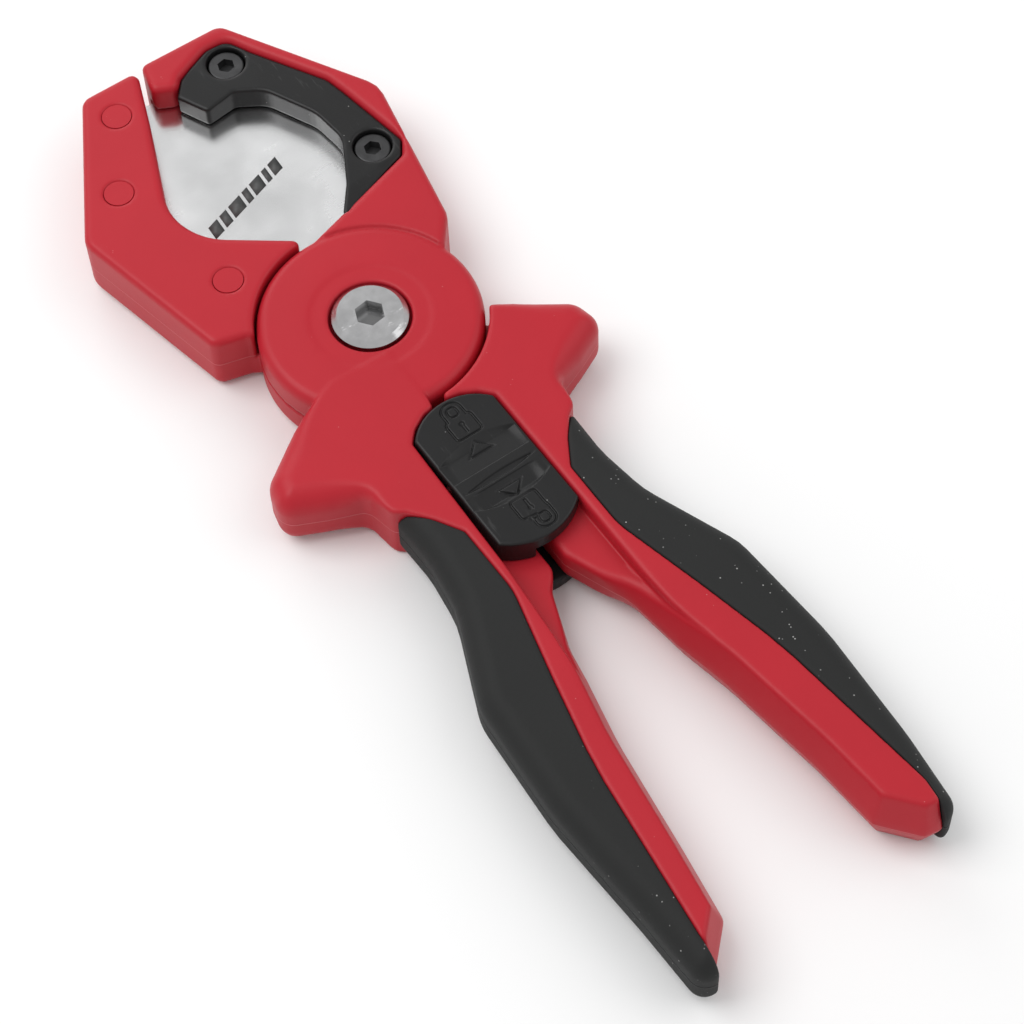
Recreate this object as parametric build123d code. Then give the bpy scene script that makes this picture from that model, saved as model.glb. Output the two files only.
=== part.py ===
from build123d import *
import math
import os

# Pliers-type cutter for hose and plastic pipe, closed and locked, lying flat.
# Millimetres. The origin is on the pivot axis at the resting plane, +Y points to the jaws,
# +Z up. The anvil lever is the left handle with the right jaw, the blade lever the reverse.

# Overall sizes
body_thickness = 14.0
disc_radius = 20.9
handle_end = -138.0
jaw_top = 75.0
mid = body_thickness / 2

# Running gaps
disc_gap = 0.5
jaw_disc_clearance = 0.4
handle_disc_clearance = 0.8
pivot_running_clearance = 0.05
seat_clearance = 0.02
slot_clearance = 0.8
pocket_clearance = 0.15

# Edges
jaw_edge_radius = 1.3
disc_rim_radius = 2.2
wing_edge_radius = 2.4
grip_edge_radius = 4.0

# Blade, and the slot that it closes into
blade_thickness = 1.5
blade_slot_width = blade_thickness + 0.6
blade_heel_radius = disc_radius + 1.2
blade_tip_radius = 71.3
peg_radius = 2.8
peg_centres = [(-13.6, 67.0), (-22.7, 51.0), (-16.7, 22.0)]

# Anvil halves and their screws
anvil_recess = 0.8
screw_centres = [(10.5, 66.5), (22.3, 33.0)]
screw_radius = 2.0
screw_head_radius = 3.5
screw_head_height = 3.0
screw_head_depth = 0.9
counterbore_radius = 3.8
nut_across_flats = 7.0
nut_height = 2.4
screw_socket_flats = 3.0

# Pivot
pivot_radius = 4.9
bolt_radius = 3.0
bolt_head_radius = 7.1
bolt_head_height = 3.0
bolt_head_proud = 0.8
bolt_socket_flats = 5.0
barrel_head_height = 1.6
head_recess_radius = 7.67
washer_thickness = 0.5
washer_radius = 6.9
spanner_hole_radius = 0.9
spanner_hole_offset = 4.2

# Return spring in its ring-shaped cavity
spring_wire_radius = 0.7
spring_mean_radius = 11.1
spring_turns = 3
spring_pitch = 1.75
spring_leg = 6.0
cavity_inner_radius = 9.4
cavity_outer_radius = 13.9
cavity_wall = 3.4
thrust_washer_inner = 14.4
thrust_washer_outer = 18.6
thrust_washer_thickness = disc_gap - 0.1

# Handles, as distances from their shared centre line
handle_axis_x = -0.5
bevel_width = 2.4
bevel_height = mid - 0.4
anvil_outer_shift = 0.7
grip_wall = 3.0

# Lock slide and its channel
slide_left = -8.7
slide_right = 8.2
slide_top = -23.3
slide_bottom = -56.8
rear_slide_bottom = -60.0
slide_shoulder = 4.1
slide_travel = 8.0
slide_proud = 0.3
slide_play = 0.3
thin_cover = 3.0
deep_cover = 5.2
deep_edge_x = -3.0
web_edge_anvil = -2.0
web_edge_blade = 0.5
channel_side_play = 0.4
channel_end = -92.0
tongue_width = 2.8
tongue_length = 11.4
tongue_top = -32.3
tongue_x = -6.0
tongue_play = 0.2
ball_radius = 1.25
ball_proud = 0.35
ball_y = -38.0
groove_depth = ball_proud + 0.1
dimple_depth = ball_proud + 0.4


def face_of(points, radii):
    """Closed flat outline facing up, with one corner radius for each point."""
    ahead = points[1:] + points[:1]
    twice_area = sum(a[0] * b[1] - b[0] * a[1] for a, b in zip(points, ahead))
    if twice_area < 0:
        points = points[::-1]
        radii = radii[::-1]
    return make_face(FilletPolyline(*points, radius=radii, close=True))


def slab(face, low, high):
    return Pos(0, 0, low) * extrude(face, high - low, dir=(0, 0, 1))


def rounded(solid, radius, keep=lambda edge: True):
    """Rounds the flat outline edges of a slab, top and bottom."""
    levels = (solid.bounding_box().min.Z, solid.bounding_box().max.Z)
    edges = []
    for edge in solid.edges():
        box = edge.bounding_box()
        flat = box.max.Z - box.min.Z < 1e-4
        at_level = min(abs(box.min.Z - z) for z in levels) < 1e-3
        if flat and at_level and keep(edge):
            edges.append(edge)
    return fillet(edges, radius)


def rod(radius, low, high, x=0.0, y=0.0):
    return Pos(x, y, (low + high) / 2) * Cylinder(radius, high - low)


def tube(inner, outer, low, high, x=0.0, y=0.0):
    return rod(outer, low, high, x, y) - rod(inner, low - 1, high + 1, x, y)


def hexagon(flats, low, high, x=0.0, y=0.0, turn=0.0):
    prism = extrude(RegularPolygon(flats / math.sqrt(3), 6), high - low)
    return Pos(x, y, low) * Rot(0, 0, turn) * prism


def mirrored(solid):
    """The same solid turned over about the mid plane."""
    return mirror(solid, Plane.XY.offset(mid))


def anvil_jaw_face():
    points = [
        (-3.4, jaw_top + 0.2), (14.3, jaw_top), (31.4, 44.4), (24.6, 11.0), (15.0, -1.0),
        (0.8, 12.0), (0.8, 20.3), (10.0, 23.0), (14.0, 27.0), (18.6, 36.0), (18.9, 47.0),
        (14.5, 56.5), (7.5, 61.6), (0.5, 65.6), (-4.9, 68.4),
    ]
    radii = [1.5, 3.0, 6.0, 3.0, 0, 0, 0.6, 0, 0, 0, 0, 0, 0, 0, 1.4]
    return face_of(points, radii)


def blade_jaw_face():
    points = [
        (-1.9, 12.0), (-1.5, 22.6), (-15.2, 33.0), (-17.7, 41.5), (-9.2, 62.2),
        (-4.5, jaw_top - 0.4), (-16.9, jaw_top - 0.4), (-33.9, 44.9), (-26.7, 11.4), (-20.4, 9.7), (-14.0, 5.0),
    ]
    radii = [0, 1.5, 13.0, 12.0, 8.0, 1.5, 2.8, 4.5, 2.0, 3.0, 0]
    return face_of(points, radii)


def anvil_face(grow=0.0):
    points = [
        (-1.3, 65.2), (1.4, 68.2), (8.9, 71.3), (13.4, 71.1), (15.8, 66.0), (24.0, 51.4),
        (24.9, 47.0), (27.5, 31.0), (25.4, 27.8), (10.0, 23.1), (9.8, 24.2), (13.6, 28.8),
        (18.7, 38.0), (17.9, 46.0), (13.0, 56.4), (7.9, 59.6), (1.6, 58.9), (0.4, 61.4),
    ]
    radii = [0.3, 1.5, 3.0, 3.0, 6.0, 4.0, 6.0, 1.8, 1.2, 0.2, 0.2, 4.0, 6.0, 8.0, 6.0, 2.0, 0.8, 0.6]
    face = face_of(points, radii)
    if grow > 0:
        face = offset(face, amount=grow)
    return face


def blade_face(grow=0.0):
    points = [
        (2.2, 70.2), (8.5, 64.0), (16.8, 56.8), (21.2, 43.5), (18.6, 31.0), (13.5, 24.0),
        (9.0, 12.0), (-12.0, 12.0), (-22.5, 18.5), (-27.6, 44.0), (-28.0, 50.5), (-15.5, 70.9),
    ]
    radii = [0.6, 6.0, 7.0, 8.0, 6.0, 2.0, 0, 0, 2.0, 4.0, 3.0, 1.5]
    face = face_of(points, radii)
    if grow > 0:
        face = offset(face, amount=grow)
    return face - Circle(blade_heel_radius - grow)


def outer_side(side, inset=0.0):
    """Outer side of a handle below its wing, down to the end corner, and its corner radii."""
    shift = anvil_outer_shift if side < 0 else 0.0
    end = 27.6 if side < 0 else 25.4
    half = [
        (19.3, -38.0), (18.8, -47.0), (20.2, -57.5), (27.3 + shift, -76.0), (28.6 + shift, -99.0),
        (27.3 + shift, -122.0), (end, handle_end),
    ]
    radii = [4.0, 16.0, 20.0, 12.0, 30.0, 40.0, 1.8 if side < 0 else 3.0]
    return [(h - inset, y) for h, y in half], radii


def inner_side(side):
    """Inner side of a handle at the middle of its thickness, from the end up to the web."""
    if side < 0:
        half = [(16.6, -129.6), (14.6, -116.0), (11.7, -94.0), (9.0, -81.0), (7.9, -74.5), (3.8, -63.4)]
        return half, [1.5, 40.0, 40.0, 10.0, 8.0, 3.0]
    half = [(13.3, -130.2), (12.2, -116.0), (9.4, -94.5), (7.3, -84.5), (5.7, -72.0)]
    return half, [1.5, 40.0, 30.0, 15.0, 10.0]


def end_corner(side):
    return (23.8, handle_end + 1.4) if side < 0 else (19.0, handle_end + 0.8)


def handle_face(side):
    """Outline of one handle from the disc out over the wing, round the end and back up."""
    root = 0.8 if side < 0 else 2.0
    web = (web_edge_blade - handle_axis_x) if side > 0 else (handle_axis_x - web_edge_anvil)
    wing = [
        (root, -8.0), (13.0, -7.6), (24.0, -11.4), (33.6, -18.2), (35.0, -24.6), (27.5, -28.2), (20.9, -30.8),
    ]
    outer, outer_radii = outer_side(side)
    inner, inner_radii = inner_side(side)
    top = [(web, -60.0), (web, -24.0), (root, -20.5)]
    half = wing + outer + [end_corner(side)] + inner + top
    radii = [0, 0, 20.0, 4.5, 3.4, 8.0, 3.0] + outer_radii + [2.0] + inner_radii + [3.0, 1.5, 1.0]
    return face_of([(handle_axis_x + side * h, y) for h, y in half], radii)


def sloped_band(side):
    """Upper part of the handle's envelope, whose inner side and end slope towards the flat face."""
    inner, inner_radii = inner_side(side)
    corner = end_corner(side)
    reach = handle_end - (12.0 if side < 0 else 4.3)
    half = [(60.0, 0.0), (60.0, reach), corner] + inner + [(-6.0, -56.0), (-6.0, 0.0)]
    radii = [0, 0, 3.0, 3.0] + inner_radii[1:] + [0, 0]
    face = face_of([(handle_axis_x + h, y) for h, y in half], radii)
    slope = math.degrees(math.atan(bevel_width / bevel_height))
    band = Pos(0, 0, body_thickness - bevel_height) * extrude(face, bevel_height, dir=(0, 0, 1), taper=slope)
    return band if side > 0 else mirror(band, Plane.YZ.offset(handle_axis_x))


def handle_solid(side):
    """Handle whose inner side and end slope out from the flat faces to the middle."""
    full = handle_face(side)
    on_wing = lambda edge: edge.center().Y > -31.5 and abs(edge.center().X - handle_axis_x) > 16.0
    block = rounded(slab(full, 0, body_thickness), wing_edge_radius, on_wing)
    middle = Pos(0, -70, mid) * Box(120, 160, body_thickness - 2 * bevel_height)
    upper = block & sloped_band(side)
    return (block & middle) + upper + mirrored(upper)


def grip_region(side):
    """Flat region that the soft grip takes from a handle."""
    half = [
        (25.0, -34.2), (20.4, -36.4), (17.4, -38.6), (14.4, -42.4), (11.3, -47.6),
        (11.2, -62.0), (15.6, -80.0), (19.4, -97.0), (21.7, -117.0), (23.3, -131.0),
        (22.4, handle_end - 1.0), (21.0, handle_end - 5.0), (40.0, handle_end - 5.0), (40.0, -34.2),
    ]
    radii = [0, 4.0, 2.0, 8.0, 1.5, 14.0, 60.0, 60.0, 60.0, 4.0, 0, 0, 0, 0]
    return face_of([(handle_axis_x + side * h, y) for h, y in half], radii)


def grip_outer(side, inset):
    """Outer side of a handle, closed well inside it, with rounded outer edges."""
    outer, radii = outer_side(side, inset)
    end_h, end_y = outer[-1]
    half = [(5.0, -33.0), (19.9 - inset, -33.0)] + outer[1:-1] + [
        (end_h, end_y + inset), (12.0, end_y + inset + 1.0), (5.0, -120.0),
    ]
    face = face_of([(handle_axis_x + side * h, y) for h, y in half], [0, 0] + radii[1:-1] + [3.2, 0, 0])
    solid = slab(face, inset, body_thickness - inset)
    on_outside = lambda edge: abs(edge.center().X - handle_axis_x) > 15.0 - inset
    return rounded(solid, grip_edge_radius - inset * 0.6, on_outside)


def grip(side):
    region = slab(grip_region(side), -1, body_thickness + 1)
    return (grip_outer(side, 0.0) & region) - grip_outer(side, grip_wall)


def handle_with_core(side):
    """Handle with the grip's share taken away, apart from the core inside the grip."""
    region = slab(grip_region(side), -1, body_thickness + 1)
    return (handle_solid(side) - region) + (grip_outer(side, grip_wall) & region)


def disc_half(low, high, rim_z):
    disc = rod(disc_radius, low, high)
    rim = [e for e in disc.edges() if abs(e.center().Z - rim_z) < 1e-3]
    return fillet(rim, disc_rim_radius)


def clearance_for_disc(radius, low, high):
    return rod(radius, low, high)


def slide_face(low_end):
    """Outline of the lock slide: straight sides and bowed ends."""
    centre = (slide_left + slide_right) / 2
    top = ThreePointArc(
        (slide_left, slide_top - slide_shoulder), (centre, slide_top), (slide_right, slide_top - slide_shoulder)
    )
    right = Line(top @ 1, (slide_right, low_end + slide_shoulder * 0.8))
    bottom = ThreePointArc(
        right @ 1, (centre, low_end), (slide_left, low_end + slide_shoulder * 0.8)
    )
    left = Line(bottom @ 1, top @ 0)
    return make_face([top, right, bottom, left])


def channel_face():
    """Outline of the channel: the slide's own shape, run on until it fades into the bevels."""
    left = slide_left - channel_side_play
    right = slide_right + channel_side_play
    centre = (left + right) / 2
    top = ThreePointArc(
        (left, slide_top - slide_shoulder), (centre, slide_top + 0.5), (right, slide_top - slide_shoulder)
    )
    walls = Polyline(
        top @ 1, (right - 0.3, channel_end + 12.0), (right + 1.0, channel_end + 3.5),
        (right + 0.4, channel_end), (left - 0.8, channel_end + 2.0), (left - 2.3, channel_end + 8.0),
        (left - 2.1, channel_end + 16.0), (left - 0.8, slide_bottom), top @ 0,
    )
    return make_face([*top.edges(), *walls.edges()])


def channel_cut(floor_low, floor_high):
    """Front and rear halves of the channel, leaving the web between two heights."""
    front = slab(channel_face(), floor_high, body_thickness + 5)
    rear = slab(channel_face(), -5, floor_low)
    return front + rear


def spring_cavity():
    return tube(cavity_inner_radius, cavity_outer_radius, cavity_wall, body_thickness - cavity_wall)


def blade_slot_in_anvil_lever():
    """Path of the blade through the anvil jaw: everything on its open side."""
    edge = offset(blade_face(), amount=slot_clearance)
    sweep_side = face_of([(8.5, 10.0), (8.5, 64.0), (0.0, 73.5), (-60.0, 73.5), (-60.0, 10.0)], [0] * 5)
    ring = Circle(blade_tip_radius) - Circle(blade_heel_radius - 0.5)
    region = (edge + sweep_side) & ring
    return slab(region, mid - blade_slot_width / 2, mid + blade_slot_width / 2)


def anvil_lever():
    upper_low = mid + disc_gap / 2
    jaw = rounded(slab(anvil_jaw_face(), 0, body_thickness), jaw_edge_radius)
    jaw = jaw - clearance_for_disc(disc_radius + jaw_disc_clearance, -1, upper_low)
    handle = handle_with_core(-1)
    handle = handle - clearance_for_disc(disc_radius + handle_disc_clearance, -1, upper_low)
    cover_floor = body_thickness - deep_cover - slide_play
    handle = handle - channel_cut(deep_cover + slide_play, cover_floor)
    slot_low = tongue_top - tongue_length - slide_travel - tongue_play
    slot_high = tongue_top + tongue_play
    tongue_slot = Pos(tongue_x, (slot_low + slot_high) / 2, mid) * Box(
        tongue_width + 2 * tongue_play, slot_high - slot_low, body_thickness
    )
    handle = handle - tongue_slot
    wall_x = slide_left - channel_side_play
    ball_z = body_thickness - deep_cover / 2
    groove = Pos(wall_x, ball_y - slide_travel / 2, ball_z) * Box(2 * groove_depth, slide_travel, 2 * ball_radius)
    handle = handle - groove
    for step in (0.0, slide_travel):
        handle = handle - Pos(wall_x + ball_radius - dimple_depth, ball_y - step, ball_z) * Sphere(ball_radius + 0.1)
    lever = disc_half(upper_low, body_thickness, body_thickness) + jaw + handle
    lever = lever - rod(pivot_radius + seat_clearance, -1, body_thickness + 1)
    recess_floor = body_thickness + bolt_head_proud - bolt_head_height - washer_thickness
    lever = lever - rod(head_recess_radius, recess_floor, body_thickness + 1)
    lever = lever - spring_cavity()
    pocket = anvil_face(pocket_clearance)
    lever = lever - slab(pocket, mid + blade_slot_width / 2, body_thickness + 1)
    lever = lever - slab(pocket, -1, mid - blade_slot_width / 2)
    lever = lever - blade_slot_in_anvil_lever()
    for x, y in screw_centres:
        lever = lever - rod(screw_radius + pocket_clearance, 0, body_thickness, x, y)
    return lever


def blade_lever():
    lower_high = mid - disc_gap / 2
    jaw = rounded(slab(blade_jaw_face(), 0, body_thickness), jaw_edge_radius)
    jaw = jaw - clearance_for_disc(disc_radius + jaw_disc_clearance, lower_high, body_thickness + 1)
    handle = handle_with_core(1)
    handle = handle - clearance_for_disc(disc_radius + handle_disc_clearance, lower_high, body_thickness + 1)
    cover_floor = body_thickness - thin_cover - slide_play
    handle = handle - channel_cut(thin_cover + slide_play, cover_floor)
    lever = disc_half(0, lower_high, 0) + jaw + handle
    lever = lever - rod(pivot_radius + pivot_running_clearance, -1, body_thickness + 1)
    lever = lever - rod(head_recess_radius, -1, barrel_head_height + washer_thickness)
    lever = lever - spring_cavity()
    seat = seat_clearance
    lever = lever - slab(blade_face(seat), mid - blade_thickness / 2 - seat, mid + blade_thickness / 2 + seat)
    for x, y in peg_centres:
        lever = lever - rod(peg_radius + seat, -1, body_thickness + 1, x, y)
    return lever


def blade():
    """Flat blade, ground on both sides to its curved edge."""
    plate = slab(blade_face(), mid - blade_thickness / 2, mid + blade_thickness / 2)
    for x, y in peg_centres:
        plate = plate - rod(peg_radius + seat_clearance, 0, body_thickness, x, y)
    return plate


def blade_pegs():
    return [rod(peg_radius, 0.1, body_thickness - 0.1, x, y) for x, y in peg_centres]


def anvil_half():
    """Front half of the anvil, above the blade's slot."""
    low = mid + blade_slot_width / 2
    return slab(anvil_face(), low, body_thickness - anvil_recess)


def front_anvil():
    half = anvil_half()
    head_seat = body_thickness - anvil_recess - screw_head_depth - screw_head_height
    for x, y in screw_centres:
        half = half - rod(counterbore_radius, head_seat, body_thickness, x, y)
        half = half - rod(screw_radius + seat_clearance, 0, body_thickness, x, y)
    return half


def rear_anvil():
    half = mirrored(anvil_half())
    for x, y in screw_centres:
        nut_hole = hexagon(nut_across_flats + 0.1, -1, anvil_recess + 0.4 + nut_height, x, y)
        half = half - nut_hole
        half = half - rod(screw_radius + seat_clearance, 0, body_thickness, x, y)
    return half


def anvil_screws():
    screws = []
    head_seat = body_thickness - anvil_recess - screw_head_depth - screw_head_height
    for x, y in screw_centres:
        head = rod(screw_head_radius, head_seat, head_seat + screw_head_height, x, y)
        rim = [e for e in head.edges() if abs(e.center().Z - head_seat - screw_head_height) < 1e-3]
        head = fillet(rim, 0.4)
        shank = rod(screw_radius, anvil_recess + 0.6, head_seat, x, y)
        socket = hexagon(screw_socket_flats, head_seat + 1.2, body_thickness, x, y, 12)
        screws.append(head + shank - socket)
    return screws


def anvil_nuts():
    nuts = []
    for x, y in screw_centres:
        nut = hexagon(nut_across_flats, anvil_recess + 0.4, anvil_recess + 0.4 + nut_height, x, y)
        nuts.append(nut - rod(screw_radius + seat_clearance, 0, body_thickness, x, y))
    return nuts


def pivot_bolt():
    top = body_thickness + bolt_head_proud
    head = rod(bolt_head_radius, top - bolt_head_height, top)
    rim = [e for e in head.edges() if abs(e.center().Z - top) < 1e-3]
    head = chamfer(rim, 1.0)
    shank = rod(bolt_radius, barrel_head_height + 3.0, top - bolt_head_height)
    socket = hexagon(bolt_socket_flats, top - 2.2, top + 1, 0, 0, 8)
    return head + shank - socket


def pivot_barrel():
    top = body_thickness + bolt_head_proud - bolt_head_height - washer_thickness
    head = rod(bolt_head_radius, 0, barrel_head_height)
    rim = [e for e in head.edges() if abs(e.center().Z) < 1e-3]
    head = chamfer(rim, 0.5)
    body = head + rod(pivot_radius, barrel_head_height, top - 0.1)
    body = body - rod(bolt_radius + seat_clearance, barrel_head_height + 1.4, top)
    for side in (-1, 1):
        body = body - rod(spanner_hole_radius, -1, 1.0, side * spanner_hole_offset, 0)
    return body


def front_washer():
    top = body_thickness + bolt_head_proud - bolt_head_height
    return tube(bolt_radius + 0.2, washer_radius, top - washer_thickness, top)


def rear_washer():
    return tube(pivot_radius + 0.1, washer_radius, barrel_head_height, barrel_head_height + washer_thickness - 0.05)


def thrust_washer():
    half = thrust_washer_thickness / 2
    return tube(thrust_washer_inner, thrust_washer_outer, mid - half, mid + half)


def return_spring():
    """Coil with a straight tangent leg at each end, free in its cavity."""
    height = spring_turns * spring_pitch
    coil = Helix(pitch=spring_pitch, height=height, radius=spring_mean_radius)
    start = coil @ 0
    end = coil @ 1
    lead_in = Line(start - (coil % 0) * spring_leg, start)
    lead_out = Line(end, end + (coil % 1) * spring_leg)
    path = Wire([lead_in, coil, lead_out])
    section = Plane(origin=lead_in @ 0, z_dir=lead_in % 0) * Circle(spring_wire_radius)
    return Pos(0, 0, mid - height / 2) * sweep(section, path=path)


def slide_cover(low_end):
    """Cover of the lock slide, deep on the anvil lever's side and thin on the other."""
    top = body_thickness + slide_proud
    thin = slab(slide_face(low_end), body_thickness - thin_cover, top)
    thin = rounded_top(thin, 0.5)
    deep_region = Pos((slide_left + deep_edge_x) / 2 - 1, -40, mid) * Box(
        deep_edge_x - slide_left + 2, 60, 3 * body_thickness
    )
    deep = slab(slide_face(low_end), body_thickness - deep_cover, body_thickness - thin_cover) & deep_region
    cover = thin + deep
    for bar_y in (-39.2, -40.9, -42.4):
        cover = cover - Pos(0, bar_y, top) * Rot(0, 90, 0) * Cylinder(0.45, 40)
    return cover


def rounded_top(solid, radius):
    level = solid.bounding_box().max.Z
    edges = [e for e in solid.edges() if abs(e.bounding_box().min.Z - level) < 1e-3]
    return fillet(edges, radius)


def front_lock_slide():
    cover = slide_cover(slide_bottom)
    tongue_y = tongue_top - tongue_length / 2
    tongue = Pos(tongue_x, tongue_y, mid) * Box(tongue_width, tongue_length, body_thickness - 2 * deep_cover + 4.0)
    cover = cover + tongue
    bore_z = body_thickness - deep_cover / 2
    length = deep_edge_x - slide_left
    bore = Pos(slide_left + (length - 0.6) / 2, ball_y, bore_z) * Rot(0, 90, 0) * Cylinder(
        ball_radius + 0.1, length - 0.6 + 0.02
    )
    return cover - bore


def rear_lock_slide():
    cover = slide_cover(rear_slide_bottom).mirror(Plane.XY.offset(mid))
    cover = cover & Pos(0, -40, mid) * Box(60, 80, body_thickness - 0.1)
    tongue_y = tongue_top - tongue_length / 2
    socket = Pos(tongue_x, tongue_y, mid) * Box(
        tongue_width + 0.04, tongue_length + 0.04, body_thickness - 2 * deep_cover + 4.2
    )
    return cover - socket


def lock_ball():
    wall_side = slide_left + ball_radius - ball_proud
    return Pos(wall_side, ball_y, body_thickness - deep_cover / 2) * Sphere(ball_radius)


def lock_ball_spring():
    """Small coil that presses the ball outwards in its bore."""
    start = slide_left + 2 * ball_radius - ball_proud + 0.05
    end = deep_edge_x - 0.65
    wire = 0.16
    height = end - start - 2 * wire
    coil = Helix(pitch=height / 4, height=height, radius=ball_radius - 0.25, direction=(1, 0, 0))
    section = Plane(origin=coil @ 0, z_dir=coil % 0) * Circle(wire)
    solid = sweep(section, path=Wire([coil]))
    return Pos(start + wire, ball_y, body_thickness - deep_cover / 2) * solid


def write(name, solids):
    """One STEP file for each named piece."""
    solids = solids if isinstance(solids, list) else [solids]
    bodies = [body for item in solids for body in item.solids()]
    shape = bodies[0] if len(bodies) == 1 else Compound(children=bodies)
    export_step(shape, f"parts/{name}.step")


os.makedirs("parts", exist_ok=True)
write("anvil_lever", anvil_lever())
write("blade_lever", blade_lever())
write("anvil_lever_grip", grip(-1))
write("blade_lever_grip", grip(1))
write("blade", blade())
write("blade_pegs", blade_pegs())
write("front_anvil", front_anvil())
write("rear_anvil", rear_anvil())
write("anvil_screws", anvil_screws())
write("anvil_nuts", anvil_nuts())
write("pivot_bolt", pivot_bolt())
write("pivot_barrel", pivot_barrel())
write("front_washer", front_washer())
write("rear_washer", rear_washer())
write("thrust_washer", thrust_washer())
write("return_spring", return_spring())
write("front_lock_slide", front_lock_slide())
write("rear_lock_slide", rear_lock_slide())
write("lock_ball", lock_ball())
write("lock_ball_spring", lock_ball_spring())
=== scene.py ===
import math

import bpy
import numpy as np
from mathutils import Matrix, Vector


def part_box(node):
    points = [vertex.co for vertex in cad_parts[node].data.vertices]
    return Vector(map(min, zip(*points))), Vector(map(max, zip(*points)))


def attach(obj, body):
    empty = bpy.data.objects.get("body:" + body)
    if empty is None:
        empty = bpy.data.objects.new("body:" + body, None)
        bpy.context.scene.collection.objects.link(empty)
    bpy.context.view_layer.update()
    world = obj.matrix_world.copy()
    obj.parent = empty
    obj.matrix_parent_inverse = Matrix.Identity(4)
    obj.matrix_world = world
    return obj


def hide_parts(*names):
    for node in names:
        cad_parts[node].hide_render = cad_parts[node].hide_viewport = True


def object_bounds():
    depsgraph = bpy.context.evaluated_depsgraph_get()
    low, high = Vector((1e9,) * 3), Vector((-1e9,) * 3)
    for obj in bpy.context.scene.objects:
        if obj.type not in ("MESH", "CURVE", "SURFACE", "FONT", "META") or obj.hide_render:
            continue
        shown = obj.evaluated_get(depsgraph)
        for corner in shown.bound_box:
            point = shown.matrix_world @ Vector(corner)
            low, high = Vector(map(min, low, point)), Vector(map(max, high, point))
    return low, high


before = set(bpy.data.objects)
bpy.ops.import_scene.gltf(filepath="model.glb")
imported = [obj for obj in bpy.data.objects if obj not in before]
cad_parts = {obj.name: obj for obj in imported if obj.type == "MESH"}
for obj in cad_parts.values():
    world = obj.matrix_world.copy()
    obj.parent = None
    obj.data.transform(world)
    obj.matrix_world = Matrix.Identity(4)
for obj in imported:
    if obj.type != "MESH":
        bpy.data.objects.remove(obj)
cadLow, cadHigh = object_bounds()
print("frame loaded")

# Shapes are worked out in millimetres from the pivot and written in metres.
mm = 0.001
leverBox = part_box("anvil_lever")
thick = (leverBox[1][2] - leverBox[0][2]) / mm
mid = thick / 2


# distances on a grid, negative inside a shape

def softMax(a, b, blend):
    # the larger of two distances, its crease rounded over the blend length
    h = np.clip(0.5 - 0.5 * (b - a) / blend, 0, 1)
    return b * (1 - h) + a * h + blend * h * (1 - h)


def softMin(a, b, blend):
    return -softMax(-a, -b, blend)


def ramp(value, start, end):
    # 0 before start, 1 after end, an S curve between
    t = np.clip((value - start) / (end - start), 0, 1)
    return t * t * (3 - 2 * t)


def polygonDistance(x, y, points):
    # distance to the nearest edge of a closed outline, negative inside it
    nearest = np.full(np.broadcast(x, y).shape, 1e12)
    inside = np.zeros(nearest.shape, bool)
    for (ax, ay), (bx, by) in zip(points, points[1:] + points[:1]):
        ex, ey = bx - ax, by - ay
        along = np.clip(((x - ax) * ex + (y - ay) * ey) / (ex * ex + ey * ey), 0, 1)
        nearest = np.minimum(nearest, (x - ax - ex * along) ** 2 + (y - ay - ey * along) ** 2)
        if ey != 0:
            inside ^= ((ay <= y) != (by <= y)) & (x < ax + (y - ay) * ex / ey)
    return np.where(inside, -1, 1) * np.sqrt(nearest)


def roundCorners(points, radii, arcStep=14):
    # each corner becomes an arc tangent to its two sides, sampled every arcStep degrees
    made = []
    for i, (corner, radius) in enumerate(zip(points, radii)):
        corner = np.array(corner, float)
        if radius == 0:
            made.append(tuple(corner))
            continue
        before = np.array(points[i - 1]) - corner
        after = np.array(points[(i + 1) % len(points)]) - corner
        before, after = before / np.linalg.norm(before), after / np.linalg.norm(after)
        half = math.acos(np.clip(before @ after, -1, 1)) / 2
        centre = corner + (before + after) / np.linalg.norm(before + after) * radius / math.sin(half)
        first = corner + before * radius / math.tan(half) - centre
        last = corner + after * radius / math.tan(half) - centre
        turn = math.atan2(first[0] * last[1] - first[1] * last[0], first @ last)
        count = max(2, int(abs(math.degrees(turn)) / arcStep) + 1)
        start = math.atan2(first[1], first[0])
        for angle in np.linspace(start, start + turn, count):
            made.append((centre[0] + radius * math.cos(angle), centre[1] + radius * math.sin(angle)))
    return made


def plate(flat, z, low, high, edge):
    # a flat outline carried from low to high, its rims rounded by edge
    upright = np.abs(z - (low + high) / 2) - (high - low) / 2
    a, b = flat + edge, upright + edge
    return np.sqrt(np.maximum(a, 0) ** 2 + np.maximum(b, 0) ** 2) + np.minimum(np.maximum(a, b), 0) - edge


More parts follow.
